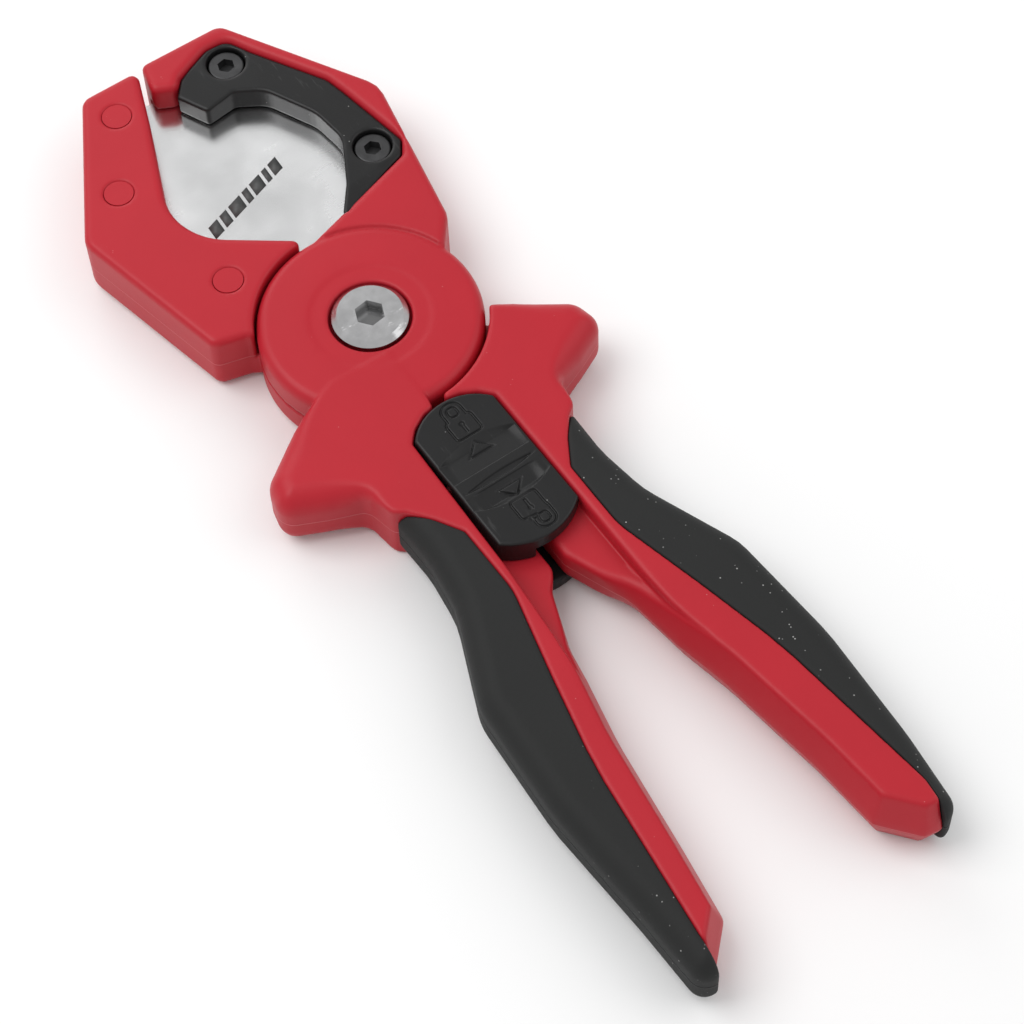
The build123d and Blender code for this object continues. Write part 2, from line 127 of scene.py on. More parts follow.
def skinOf(name, field, low, high, step, slotName, bodyName, nodes, polish=1):
    # the surface where field is 0: one point in each grid cell that it crosses, joined in fours
    axes = [np.arange(a - 2.5 * step, b + 2.5 * step, step) for a, b in zip(low, high)]
    x, y, z = axes[0][:, None, None], axes[1][None, :, None], axes[2][None, None, :]
    f = field(x, y, z) + np.zeros((len(axes[0]), len(axes[1]), len(axes[2])))
    inside = f < 0
    corners = [(i, j, k) for i in (0, 1) for j in (0, 1) for k in (0, 1)]
    shape = tuple(n - 1 for n in f.shape)
    part = lambda c: tuple(slice(c[n], c[n] + shape[n]) for n in range(3))
    count = sum(inside[part(c)].astype(np.int8) for c in corners)
    crossed = (count > 0) & (count < 8)
    cells = np.argwhere(crossed)
    number = np.full(shape, -1)
    number[crossed] = np.arange(len(cells))
    values = [f[tuple((cells + c).T)] for c in corners]
    total, hits = np.zeros((len(cells), 3)), np.zeros(len(cells))
    for a, ca in enumerate(corners):
        for b, cb in enumerate(corners):
            if b > a and sum(abs(p - q) for p, q in zip(ca, cb)) == 1:
                cut = (values[a] < 0) != (values[b] < 0)
                t = np.where(cut, values[a] / np.where(cut, values[a] - values[b], 1), 0)
                spot = np.array(ca) + t[:, None] * (np.array(cb) - np.array(ca))
                total += spot * cut[:, None]
                hits += cut
    points = (cells + total / hits[:, None]) * step + np.array([a[0] for a in axes])
    for _ in range(polish):
        probe = step * 0.25
        value = field(*points.T)
        slope = np.stack([
            field(*(points + probe * side).T) - field(*(points - probe * side).T) for side in np.eye(3)
        ], 1) / (2 * probe)
        size = np.maximum((slope ** 2).sum(1), 0.25)
        points = points - np.clip(value / size, -step, step)[:, None] * slope
    quads = []
    for axis in range(3):
        lower = [slice(1, -1)] * 3
        upper = [slice(1, -1)] * 3
        lower[axis], upper[axis] = slice(0, -1), slice(1, None)
        a, b = inside[tuple(lower)], inside[tuple(upper)]
        spots = np.argwhere(a != b)
        outward = a[tuple(spots.T)]
        offset = np.ones(3, int)
        offset[axis] = 0
        spots = spots + offset
        one, two = [n for n in range(3) if n != axis]
        ring = []
        for p, q in ((0, 0), (-1, 0), (-1, -1), (0, -1)):
            shift = np.zeros(3, int)
            shift[one], shift[two] = p, q
            ring.append(number[tuple((spots + shift).T)])
        ring = np.stack(ring, 1)
        flip = outward if axis != 1 else ~outward
        quads.append(np.where(flip[:, None], ring, ring[:, ::-1]))
    return meshOf(name, points * mm, np.concatenate(quads), bodyName, nodes)


def meshOf(name, points, faces, bodyName, nodes):
    # a smooth mesh of faces with equal numbers of sides, riding on its body in place of its nodes
    mesh = bpy.data.meshes.new(name)
    mesh.vertices.add(len(points))
    mesh.vertices.foreach_set("co", np.ascontiguousarray(points, np.float32).ravel())
    sides = faces.shape[1]
    mesh.loops.add(faces.size)
    mesh.loops.foreach_set("vertex_index", np.ascontiguousarray(faces, np.int32).ravel())
    mesh.polygons.add(len(faces))
    mesh.polygons.foreach_set("loop_start", np.arange(0, faces.size, sides, dtype=np.int32))
    mesh.update(calc_edges=True)
    mesh.polygons.foreach_set("use_smooth", np.ones(len(faces), bool))
    made = bpy.data.objects.new(name, mesh)
    bpy.context.scene.collection.objects.link(made)
    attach(made, bodyName)
    if nodes:
        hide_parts(*nodes)
    print(name, len(points), "points")
    return made


# outlines, from the pivot; handle outlines are distances from the handles' centre line

handleAxis = -0.5
handleEnd = -138.0
jawTop = 75.0
sides = {"anvil": -1, "blade": 1}
bodies = {"anvil": "anvil_side", "blade": "blade_side"}

anvilJaw = roundCorners(
    [(-3.4, jawTop + 0.2), (14.3, jawTop), (31.4, 44.4), (24.6, 11.0), (15.0, -1.0),
     (0.8, 12.0), (0.8, 20.3), (10.0, 23.0), (14.0, 27.0), (18.6, 36.0), (18.9, 47.0),
     (14.5, 56.5), (7.5, 61.6), (0.5, 65.6), (-4.9, 68.4)],
    [1.5, 3.0, 6.0, 3.0, 0, 0, 0.6, 0, 0, 0, 0, 0, 0, 0, 1.4])
bladeJaw = roundCorners(
    [(-1.9, 12.0), (-1.5, 22.6), (-15.2, 33.0), (-17.7, 41.5), (-9.2, 62.2), (-4.5, jawTop - 0.4),
     (-16.9, jawTop - 0.4), (-33.9, 44.9), (-26.7, 11.4), (-20.4, 9.7), (-14.0, 5.0)],
    [0, 1.5, 13.0, 12.0, 8.0, 1.5, 2.8, 4.5, 2.0, 3.0, 0], 5)
anvilOutline = roundCorners(
    [(-1.3, 65.2), (1.4, 68.2), (8.9, 71.3), (13.4, 71.1), (15.8, 66.0), (24.0, 51.4),
     (24.9, 47.0), (27.5, 31.0), (25.4, 27.8), (10.0, 23.1), (9.8, 24.2), (13.6, 28.8),
     (18.7, 38.0), (17.9, 46.0), (13.0, 56.4), (7.9, 59.6), (1.6, 58.9), (0.4, 61.4)],
    [0.3, 1.5, 3.0, 3.0, 6.0, 4.0, 6.0, 1.8, 1.2, 0.2, 0.2, 4.0, 6.0, 8.0, 6.0, 2.0, 0.8, 0.6], 8)
bladeOutline = roundCorners(
    [(2.2, 70.2), (8.5, 64.0), (16.8, 56.8), (21.2, 43.5), (18.6, 31.0), (13.5, 24.0),
     (9.0, 12.0), (-12.0, 12.0), (-22.5, 18.5), (-27.6, 44.0), (-28.0, 50.5), (-15.5, 70.9)],
    [0.6, 6.0, 7.0, 8.0, 6.0, 2.0, 0, 0, 2.0, 4.0, 3.0, 1.5])
sweptPath = [(8.5, 10.0), (8.5, 64.0), (0.0, 73.5), (-60.0, 73.5), (-60.0, 10.0)]
channelOutline = [
    (-9.1, -27.4), (-7.0, -25.1), (-4.0, -23.4), (-0.2, -22.8), (3.6, -23.4), (6.6, -25.1), (8.6, -27.4),
    (8.3, -80.0), (9.6, -88.5), (9.0, -92.0), (-9.9, -90.0), (-11.4, -84.0), (-11.2, -76.0), (-9.9, -56.8)]

outerSide = {
    "anvil": [(19.3, -38.0), (18.8, -47.0), (20.2, -57.5), (28.0, -76.0), (29.3, -99.0), (28.0, -122.0),
              (27.6, handleEnd)],
    "blade": [(19.3, -38.0), (18.8, -47.0), (20.2, -57.5), (27.3, -76.0), (28.6, -99.0), (27.3, -122.0),
              (25.4, handleEnd)]}
outerRadii = {
    "anvil": [4.0, 16.0, 20.0, 12.0, 30.0, 40.0, 1.8],
    "blade": [4.0, 16.0, 20.0, 12.0, 30.0, 40.0, 3.0]}
innerSide = {
    "anvil": [(16.6, -129.6), (14.6, -116.0), (11.7, -94.0), (9.0, -81.0), (7.9, -74.5), (3.8, -63.4)],
    "blade": [(13.3, -130.2), (12.2, -116.0), (9.4, -94.5), (7.3, -84.5), (5.7, -72.0)]}
innerRadii = {"anvil": [1.5, 40.0, 40.0, 10.0, 8.0, 3.0], "blade": [1.5, 40.0, 30.0, 15.0, 10.0]}
endCorner = {"anvil": (23.8, handleEnd + 1.4), "blade": (19.0, handleEnd + 0.8)}
wing = [(13.0, -7.6), (24.0, -11.4), (33.6, -18.2), (35.0, -24.6), (27.5, -28.2), (20.9, -30.8)]
webTop = {
    "anvil": [(1.5, -60.0), (1.5, -24.0), (0.8, -20.5)],
    "blade": [(1.0, -60.0), (1.0, -24.0), (2.0, -20.5)]}
handleOutline, bevelOutline, gripOutline, gripReach = {}, {}, {}, {}
tipReach = {
    "anvil": [(23.9, handleEnd - 1.0), (23.9, handleEnd - 5.0)],
    "blade": [(22.4, handleEnd - 1.0), (21.0, handleEnd - 5.0)]}
for lever in sides:
    root = webTop[lever][-1][0]
    handleOutline[lever] = roundCorners(
        [(root, -8.0)] + wing + outerSide[lever] + [endCorner[lever]] + innerSide[lever] + webTop[lever],
        [0, 0, 20.0, 4.5, 3.4, 8.0, 3.0] + outerRadii[lever] + [2.0] + innerRadii[lever] + [3.0, 1.5, 1.4], 6)
    reach = handleEnd - (12.0 if lever == "anvil" else 4.3)
    bevelOutline[lever] = roundCorners(
        [(60.0, 20.0), (60.0, reach), endCorner[lever]] + innerSide[lever] + [(-6.0, -56.0), (-6.0, 20.0)],
        [0, 0, 3.0, 3.0] + innerRadii[lever][1:] + [0, 0], 6)
    gripOutline[lever] = roundCorners(
        [(5.0, -30.0), (19.3, -30.0)] + outerSide[lever][1:] + [(12.0, handleEnd + 1.0), (5.0, -120.0)],
        [0, 0] + outerRadii[lever][1:-1] + [3.2, 0, 0], 6)
    gripReach[lever] = roundCorners(
        [(25.0, -34.2), (20.4, -36.4), (17.4, -38.6), (14.4, -42.4), (11.3, -47.6),
         (11.2, -62.0), (15.6, -80.0), (19.4, -97.0), (21.7, -117.0), (23.3, -131.0)] + tipReach[lever] +
        [(40.0, handleEnd - 5.0), (40.0, -34.2)],
        [0, 4.0, 2.0, 8.0, 1.5, 14.0, 60.0, 60.0, 60.0, 4.0, 0, 0, 0, 0], 6)
print("outlines ready")

# levers: a front disc with the right jaw and left handle, a rear disc with the left jaw and right handle

leverSet = {
    "step": 0.5, "discRadius": 20.9, "discRim": 2.2, "dome": 0.25, "domeSpan": (12, 21.5), "dish": 0.16,
    "dishSpan": (10.7, 11.7), "discGap": 0.5, "discBlend": 0.35, "arc": 20.3, "arcLevel": 12.6,
    "jawClearance": 0.4, "handleClearance": 0.8, "clearanceBlend": 0.8, "frontRim": 1.3, "rearRim": 2.2,
    "handleRim": 0.8, "wingRim": 4.6, "wingSpan": (15, 27), "wingFade": (-36, -30), "bevelWidth": 2.4,
    "bevelHeight": 6.6, "crease": 0.7, "limbBlend": 0.5,
    "bore": {"anvil": 4.92, "blade": 4.95}, "headFloor": {"anvil": 11.3, "blade": thick - 2.1},
    "headRecess": 7.67, "recessBlend": 0.6, "cavityMiddle": 11.65, "cavityHalf": (2.25, 3.6),
    "webFront": {"anvil": 1.5, "blade": 3.7}, "webFade": (66, 92), "webEnd": mid + 0.4,
    "channelBlend": {"anvil": 0.8, "blade": 1.3}, "pocketPlay": 0.15, "pocketBlend": 1.7, "slotHalf": 1.05,
    "slotPlay": 0.8, "slotRing": (21.6, 71.3), "slotBlend": 0.3, "tongueSlot": (-6.0, -42.0),
    "tongueSlotHalf": (1.6, 9.9), "seatPlay": 0.05, "seatFrom": 22.0, "seatHalf": 0.8,
    "screws": [(10.5, 66.5), (22.3, 33.0)], "screwHole": 2.15,
    "pegs": [(-13.6, 67.0), (-22.7, 51.0), (-16.7, 22.0)], "pegHole": 2.84, "holeBlend": 0.5}
gripSet = {"step": 0.34, "inset": 3.0, "coreRim": 2.0, "rim": 4.4, "line": 0.6, "lineGap": 0.03}


def handleField(x, y, z, lever):
    # a plate with rounded rims, cut by a side that leans in by bevelWidth from the middle to each face
    s = leverSet
    h = sides[lever] * (x - handleAxis)
    onWing = ramp(h, *s["wingSpan"]) * ramp(y, *s["wingFade"])
    rim = s["handleRim"] + (s["wingRim"] - s["handleRim"]) * onWing
    body = plate(polygonDistance(h, y, handleOutline[lever]), z, 0, thick, rim)
    lean = s["bevelWidth"] / s["bevelHeight"]
    side = (polygonDistance(h, y, bevelOutline[lever]) + lean * np.abs(z - mid)) / math.hypot(1, lean)
    return softMax(body, side, s["crease"])


def gripCore(x, y, z, lever):
    # the handle's core under the grip: the grip's outline shrunk by its wall on every side
    s = gripSet
    h = sides[lever] * (x - handleAxis)
    flat = polygonDistance(h, y, gripOutline[lever]) + s["inset"]
    return plate(flat, z, s["inset"], thick - s["inset"], s["coreRim"])


def discField(r, away, front):
    # a round plate on one side of the middle: a domed face, a rounded rim and a shallow dish at its centre
    s = leverSet
    fall = s["dome"] * ramp(r, *s["domeSpan"]) + s["dish"] * (1 - ramp(r, *s["dishSpan"])) if front else 0.0
    return plate(r - s["discRadius"], away, -5, mid - fall, s["discRim"])


def limbsField(x, y, z, lever, r, away):
    # jaw and handle, both cut back where the other lever's disc turns, the handle also cored for its grip
    s = leverSet
    front = lever == "anvil"
    jaw = plate(polygonDistance(x, y, anvilJaw if front else bladeJaw), z, 0, thick,
                np.where(z > mid, s["frontRim"], s["rearRim"]))
    handle = handleField(x, y, z, lever)
    region = polygonDistance(sides[lever] * (x - handleAxis), y, gripReach[lever])
    handle = softMax(handle, -region, gripSet["line"])
    handle = np.minimum(handle, np.maximum(gripCore(x, y, z, lever), region))
    beyondGap = away - s["discGap"] / 2
    jaw = softMax(jaw, -np.maximum(r - s["discRadius"] - s["jawClearance"], beyondGap), s["clearanceBlend"])
    turning = np.maximum(r - s["discRadius"] - s["handleClearance"], beyondGap)
    handle = softMax(handle, -turning, s["clearanceBlend"])
    if front:
        jaw = softMax(jaw, -np.maximum(r - s["arc"], s["arcLevel"] - z), s["limbBlend"])
    return softMin(jaw, handle, s["limbBlend"])


def leverField(x, y, z, lever):
    # disc and limbs joined, less the bolt's bore and recess, spring cavity, slide channel and jaw fittings
    s = leverSet
    front = lever == "anvil"
    r = np.sqrt(x ** 2 + y ** 2)
    away = (z - mid) if front else (mid - z)
    disc = np.maximum(discField(r, away, front), s["discGap"] / 2 - away)
    f = softMin(disc, limbsField(x, y, z, lever, r, away), s["discBlend"])
    head = np.maximum(r - s["headRecess"], s["headFloor"][lever] - (z if front else thick - z))
    f = softMax(f, -np.minimum(r - s["bore"][lever], head), s["recessBlend"])
    cavityWidth, cavityHeight = s["cavityHalf"]
    cavity = np.maximum(np.abs(r - s["cavityMiddle"]) - cavityWidth, np.abs(z - mid) - cavityHeight)
    f = np.maximum(f, -cavity)
    web = s["webFront"][lever]
    web = web + (s["webEnd"] - web) * ramp(-y, *s["webFade"])
    channel = np.maximum(polygonDistance(x, y, channelOutline), web - np.abs(z - mid))
    f = softMax(f, -channel, s["channelBlend"][lever])
    bladeFlat = polygonDistance(x, y, bladeOutline)
    if front:
        seat = polygonDistance(x, y, anvilOutline) - s["pocketPlay"]
        f = softMax(f, -np.maximum(seat, s["slotHalf"] - np.abs(z - mid)), s["pocketBlend"])
        swept = np.minimum(bladeFlat - s["slotPlay"], polygonDistance(x, y, sweptPath))
        ring = np.maximum(r - s["slotRing"][1], s["slotRing"][0] - r)
        slot = np.maximum(np.maximum(swept, ring), np.abs(z - mid) - s["slotHalf"])
        f = softMax(f, -slot, s["slotBlend"])
        (tx, ty), (halfX, halfY) = s["tongueSlot"], s["tongueSlotHalf"]
        f = np.maximum(f, -np.maximum(np.abs(x - tx) - halfX, np.abs(y - ty) - halfY))
        holes, radius = s["screws"], s["screwHole"]
    else:
        seat = np.maximum(bladeFlat - s["seatPlay"], s["seatFrom"] - r)
        f = np.maximum(f, -np.maximum(seat, np.abs(z - mid) - s["seatHalf"]))
        holes, radius = s["pegs"], s["pegHole"]
    for hx, hy in holes:
        f = softMax(f, radius - np.sqrt((x - hx) ** 2 + (y - hy) ** 2), s["holeBlend"])
    return f


def gripField(x, y, z, lever):
    # the rounded outer side of the handle, kept where the grip reaches, hollow for the handle's core
    s = gripSet
    h = sides[lever] * (x - handleAxis)
    outer = plate(polygonDistance(h, y, gripOutline[lever]), z, 0, thick, s["rim"])
    region = polygonDistance(h, y, gripReach[lever]) + s["lineGap"]
    return np.maximum(softMax(outer, region, s["line"]), -gripCore(x, y, z, lever))


leverBounds = {"anvil": ((-37, -140, 0), (33, 76, thick)), "blade": ((-36, -140, 0), (36, 76, thick))}
gripBounds = {"anvil": ((-31, -140, 0), (-10, -34, thick)), "blade": ((9, -140, 0), (30, -34, thick))}
for lever in sides:
    skinOf(lever + "Lever", lambda x, y, z: leverField(x, y, z, lever), *leverBounds[lever], leverSet["step"],
           "red_nylon", bodies[lever], [lever + "_lever"])
    skinOf(lever + "Grip", lambda x, y, z: gripField(x, y, z, lever), *gripBounds[lever], gripSet["step"],
           "soft_grip", bodies[lever], [lever + "_lever_grip"])
print("levers ready")

# anvil halves

anvilSet = {
    "step": 0.34, "low": mid + 1.05, "recess": 0.8, "rim": 0.45, "counterbore": 3.8, "headSeat": 9.3,
    "landLine": ((4.5, 68.5), (7.7, 60.4)), "landSlope": 0.10, "heelLine": ((19.3, 28.2), (13.4, 27.8)),
    "heelSlope": 0.16, "nutFlats": 7.1, "nutDepth": 3.65, "shankHole": 2.05, "holeBlend": 0.5}


def beyond(x, y, a, b):
    # how far a point lies to the right of the line from a to b
    ex, ey = b[0] - a[0], b[1] - a[1]
    return ((x - a[0]) * ey - (y - a[1]) * ex) / math.hypot(ex, ey)


def anvilField(x, y, z, front):
    # a plate with rounded rims; its face falls away past two ridges, at the land and at the heel
    s = anvilSet
    up = z if front else thick - z
    land = np.maximum(beyond(x, y, *s["landLine"]), 0) * s["landSlope"]
    heel = np.maximum(beyond(x, y, *s["heelLine"]) * -1, 0) * s["heelSlope"]
    top = thick - s["recess"] - land - heel
    f = plate(polygonDistance(x, y, anvilOutline), up, s["low"], top, s["rim"])
    sixth = math.pi / 3
    for hx, hy in leverSet["screws"]:
        r = np.sqrt((x - hx) ** 2 + (y - hy) ** 2)
        if front:
            hole = np.maximum(r - s["counterbore"], s["headSeat"] - up)
        else:
            angle = np.arctan2(y - hy, x - hx)
            flats = r * np.cos((angle + sixth / 2) % sixth - sixth / 2) - s["nutFlats"] / 2
            hole = np.maximum(flats, thick - s["nutDepth"] - up)
        f = softMax(f, -hole, s["holeBlend"])
        f = np.maximum(f, s["shankHole"] - r)
    return f


for name, front in (("frontAnvil", True), ("rearAnvil", False)):
    zLow, zHigh = (anvilSet["low"], thick) if front else (0, thick - anvilSet["low"])
    skinOf(name, lambda x, y, z: anvilField(x, y, z, front), (-2, 22, zLow), (28, 72, zHigh),
           anvilSet["step"], "black_nylon", "anvil_side", ["front_anvil" if front else "rear_anvil"])
print("anvil halves ready")

# lock slide

slideSet = {
    "step": 0.2, "left": -8.7, "right": 8.2, "top": -23.3, "topBow": 4.1, "bottom": -56.8,
    "rearBottom": -60.0, "bottomBow": 3.3, "proud": 0.3, "rearDrop": 0.05, "thin": 3.0, "deep": 5.2,
    "deepEdge": -3.0, "rim": 0.5, "edgeShare": 0.3, "edgeFade": (0.1, 0.9),
    "scoop": 0.75, "scoopArc": 17.4, "scoopRise": 0.62, "scoopEndShare": 0.25, "scoopEndFade": (0, 0.8),
    "scoops": [(-32.6, -34.6, -39.2, 1), (-47.6, -46.2, -42.9, -1)],
    "lens": -41.6, "lensTilt": 0.03, "lensDepth": 0.45, "lensWidth": 0.85, "lensHalf": 8.6,
    "arrowLevel": 0.28, "arrowDrop": 0.8, "arrowSpread": 1.0, "arrowHeight": 2.5, "arrowGroove": 0.22,
    "lockDepth": 0.38, "lockX": 0.15, "locks": [(-28.0, 1, False), (-51.7, -1, True)],
    "tongue": (-6.0, -38.0), "tongueHalf": (1.4, 5.7, 3.8), "tongueFit": 0.05,
    "ballHeight": 11.4, "ballX": -6.3, "ballHole": 1.35, "ballReach": 2.5}


def slideOutline(bottom):
    # straight sides and bowed ends, each end an arc of three known points
    s = slideSet
    centre, half = (s["left"] + s["right"]) / 2, (s["right"] - s["left"]) / 2
    points = []
    for end, sign, sagitta in ((s["top"], 1, s["topBow"]), (bottom, -1, s["bottomBow"])):
        radius = (half ** 2 + sagitta ** 2) / (2 * sagitta)
        spread = math.asin(half / radius)
        for a in np.linspace(-spread, spread, 17):
            points.append((centre + sign * radius * math.sin(a), end - sign * radius * (1 - math.cos(a))))
    return points


slideLines = {True: slideOutline(slideSet["bottom"]), False: slideOutline(slideSet["rearBottom"])}


def roundedBox(x, y, halfX, halfY, corner):
    # distance to a rectangle with rounded corners, negative inside
    qx, qy = np.abs(x) - halfX + corner, np.abs(y) - halfY + corner
    return np.hypot(np.maximum(qx, 0), np.maximum(qy, 0)) + np.minimum(np.maximum(qx, qy), 0) - corner


def padlockMark(x, y, isOpen):
    # grooves of an upright padlock, 0 to 1: a line round body and shackle, the shackle's opening, a keyhole
    body = roundedBox(x, y + 1.9, 2.65, 2.15, 0.7)
    aside = -0.9 if isOpen else 0.0
    bow = roundedBox(x - aside, y - 1.2, 1.95, 2.5, 1.7)
    edge = np.abs(softMin(body, bow, 0.25))
    opening = roundedBox(x - aside, y - 1.75, 0.95, 1.0, 0.7)
    if isOpen:
        opening = np.minimum(opening, roundedBox(x - aside - 1.5, y - 0.75, 0.75, 0.35, 0.1))
    key = np.minimum(np.hypot(x, y + 1.2) - 0.5, roundedBox(x, y + 2.3, 0.27, 1.05, 0.2))
    lines = ramp(0.30 - edge, 0, 0.22)
    lines = np.maximum(lines, ramp(0.26 - np.abs(opening), 0, 0.2))
    return np.maximum(lines, ramp(-key, -0.1, 0.14))


def slideFace(x, y):
    # how far the face lies below its plain level: two scoops with arrows, a lens groove and two padlocks
    s = slideSet
    centre = (s["left"] + s["right"]) / 2
    bow = s["scoopArc"] - np.sqrt(np.maximum(s["scoopArc"] ** 2 - (x - centre) ** 2, 1))
    depth = np.zeros(np.broadcast(x, y).shape)
    for arcY, chord, bar, sign in s["scoops"]:
        start = sign * arcY - bow
        stop = sign * chord
        fall = np.clip((start - sign * y) / np.maximum(start - stop, 0.25), 0, 1)
        rise = np.clip((stop - sign * y) / (stop - sign * bar), 0, 1)
        share = s["scoopEndShare"] + (1 - s["scoopEndShare"]) * ramp(start - stop, *s["scoopEndFade"])
        zone = s["scoop"] * fall * (1 - s["scoopRise"] * rise) * share
        zone = np.where(sign * (y - bar) > 0, zone, 0.0)
        below = sign * (arcY - y) - s["arrowDrop"]
        arrow = np.maximum((np.abs(x + 0.1) - below * s["arrowSpread"]) * 0.7, below - s["arrowHeight"])
        mark = ramp(-arrow, -0.12, 0.12)
        groove = s["arrowGroove"] * ramp(0.26 - np.abs(arrow), 0, 0.2)
        depth = depth + zone * (1 - mark) + np.minimum(zone, s["arrowLevel"]) * mark + groove
    waist = s["lensWidth"] * (1 - ((x - centre) / s["lensHalf"]) ** 2)
    depth = depth + s["lensDepth"] * ramp(waist - np.abs(y - s["lens"] - s["lensTilt"] * x), 0, 0.45)
    for cy, turn, isOpen in s["locks"]:
        depth = depth + s["lockDepth"] * padlockMark((x - s["lockX"]) * turn, (y - cy) * turn, isOpen)
    return depth


def slideField(x, y, z, front):
    # a cover plate with a deeper skirt on its left; the front half has the tongue, the rear half its hole
    s = slideSet
    up = z if front else thick - z
    flat = polygonDistance(x, y, slideLines[front])
    relief = slideFace(x, y) * (s["edgeShare"] + (1 - s["edgeShare"]) * ramp(-flat, *s["edgeFade"]))
    top = thick + (s["proud"] if front else -s["rearDrop"]) - relief
    inset = (x - s["deepEdge"]) + 0 * y
    cover = plate(flat, up, thick - s["thin"], top, s["rim"])
    skirt = np.maximum(np.maximum(flat, inset), np.maximum(up - (thick - 1), thick - s["deep"] - up))
    f = np.minimum(cover, skirt)
    (tx, ty), (halfX, halfY, halfZ) = s["tongue"], s["tongueHalf"]
    tongue = np.maximum(np.maximum(np.abs(x - tx) - halfX, np.abs(y - ty) - halfY), np.abs(z - mid) - halfZ)
    if front:
        f = np.minimum(f, tongue)
        bore = np.hypot(y - ty, z - s["ballHeight"]) - s["ballHole"]
        return np.maximum(f, -np.maximum(bore, np.abs(x - s["ballX"]) - s["ballReach"]))
    return np.maximum(f, -(tongue - s["tongueFit"]))


for name, front in (("frontSlide", True), ("rearSlide", False)):
    zLow, zHigh = (mid - 4, thick + 0.4) if front else (0, thick - 8.7)
    skinOf(name, lambda x, y, z: slideField(x, y, z, front), (-9, -60.4, zLow), (8.6, -23, zHigh),
           slideSet["step"], "black_nylon", "lock", ["front_lock_slide" if front else "rear_lock_slide"])
print("lock slide ready")

# mark on the blade

markSet = {"centre": (-2.0, 40.4), "direction": 19.8, "widths": [2.6, 2.0, 3.4, 1.6, 3.0, 1.3, 2.4],
           "gap": 0.7, "height": 2.9, "slant": 0.42, "sunk": 0.02, "lift": 0.012}


def makeMark(s):
    # slanted bars of several widths in one row, thin closed boxes that lie on the blade's front face
    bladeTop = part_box("blade")[1][2] / mm
    total = sum(s["widths"]) + s["gap"] * (len(s["widths"]) - 1)
    turn = math.radians(s["direction"])
    along = np.array([math.cos(turn), math.sin(turn)])
    across = np.array([-along[1], along[0]])
    points, faces, start = [], [], -total / 2
    box = np.array([(0, 3, 2, 1), (4, 5, 6, 7), (0, 1, 5, 4), (1, 2, 6, 5), (2, 3, 7, 6), (3, 0, 4, 7)])
    for width in s["widths"]:
        for level in (-s["sunk"], s["lift"]):
            for u, v in ((0, -0.5), (width, -0.5), (width, 0.5), (0, 0.5)):
                rise = v * s["height"]
                spot = np.array(s["centre"]) + along * (start + u + rise * s["slant"]) + across * rise
                points.append((*spot, bladeTop + level))
        faces.append(box + len(points) - 8)
        start += width + s["gap"]
    return meshOf("bladeMark", np.array(points) * mm, np.concatenate(faces), "blade_side", [])


makeMark(markSet)

# finishes


class Maths:
    # a socket that takes part in ordinary arithmetic, each operation one Math node
    def __init__(self, tree, socket):
        self.tree, self.socket = tree, socket

    def calc(self, operation, *values):
        return self.tree.node("ShaderNodeMath", {"operation": operation}, dict(enumerate((self,) + values)))

    def __add__(self, other):
        return self.calc("ADD", other)

    def __sub__(self, other):
        return self.calc("SUBTRACT", other)

    def __rsub__(self, other):
        return (self * -1) + other

    def __mul__(self, other):
        return self.calc("MULTIPLY", other)

    def __pow__(self, other):
        return self.calc("POWER", other)

    def __abs__(self):
        return self.calc("ABSOLUTE")

    __radd__, __rmul__ = __add__, __mul__


class Tree:
    # a material whose steady values are set on the shader's own sockets, with its object's x, y and z
    def __init__(self, name, **steady):
        self.material = bpy.data.materials.new(name)
        self.material.use_nodes = True
        self.nodes, self.links = self.material.node_tree.nodes, self.material.node_tree.links
        self.shader = self.nodes["Principled BSDF"]
        for key, value in steady.items():
            self.shader.inputs[key.replace("_", " ")].default_value = value
        self.place = self.node("ShaderNodeTexCoord", out="Object")
        split = self.node("ShaderNodeSeparateXYZ", values={0: self.place}, out=None)
        self.x, self.y, self.z = (Maths(self, split.outputs[n]) for n in range(3))

    def node(self, kind, settings=None, values=None, out=0):
        made = self.nodes.new(kind)
        for key, value in (settings or {}).items():
            setattr(made, key, value)
        for key, value in (values or {}).items():
            if isinstance(value, Maths):
                self.links.new(value.socket, made.inputs[key])
            else:
                made.inputs[key].default_value = value
        return made if out is None else Maths(self, made.outputs[out])

    def noise(self, scale, detail=3, roughness=0.5, stretch=None):
        # cloudy noise from 0 to 1; scale is in cells a metre, stretch slows it along an axis
        place = self.place
        if stretch:
            place = self.node("ShaderNodeMapping", values={"Vector": place, "Scale": stretch})
        return self.node("ShaderNodeTexNoise", values={
            "Vector": place, "Scale": scale, "Detail": detail, "Roughness": roughness})

    def dots(self, scale):
        # distance to the nearest of many scattered points, in cells
        return self.node("ShaderNodeTexVoronoi", values={"Vector": self.place, "Scale": scale})

    def step(self, value, low, high):
        # 0 below low, 1 above high
        return self.node("ShaderNodeMapRange", {"interpolation_type": "SMOOTHSTEP"}, {
            "Value": value, "From Min": low, "From Max": high})

    def mix(self, amount, a, b):
        # colour a where amount is 0, b where it is 1; a colour mix has its own sockets 6, 7 and 2
        return self.node("ShaderNodeMix", {"data_type": "RGBA"}, {"Factor": amount, 6: a, 7: b}, 2)

    def bump(self, height, depth, after=None):
        # depth in metres for a height from 0 to 1
        values = {"Height": height, "Strength": 1.0, "Distance": depth}
        if after:
            values["Normal"] = after
        return self.node("ShaderNodeBump", {}, values)

    def feed(self, **sockets):
        # links what changes over the surface to the shader
        for key, value in sockets.items():
            self.links.new(value.socket, self.shader.inputs[key.replace("_", " ")])
        return self.material


def shade(colour, factor):
    # the colour, lighter or darker
    return tuple(c * factor for c in colour[:3]) + (1,)


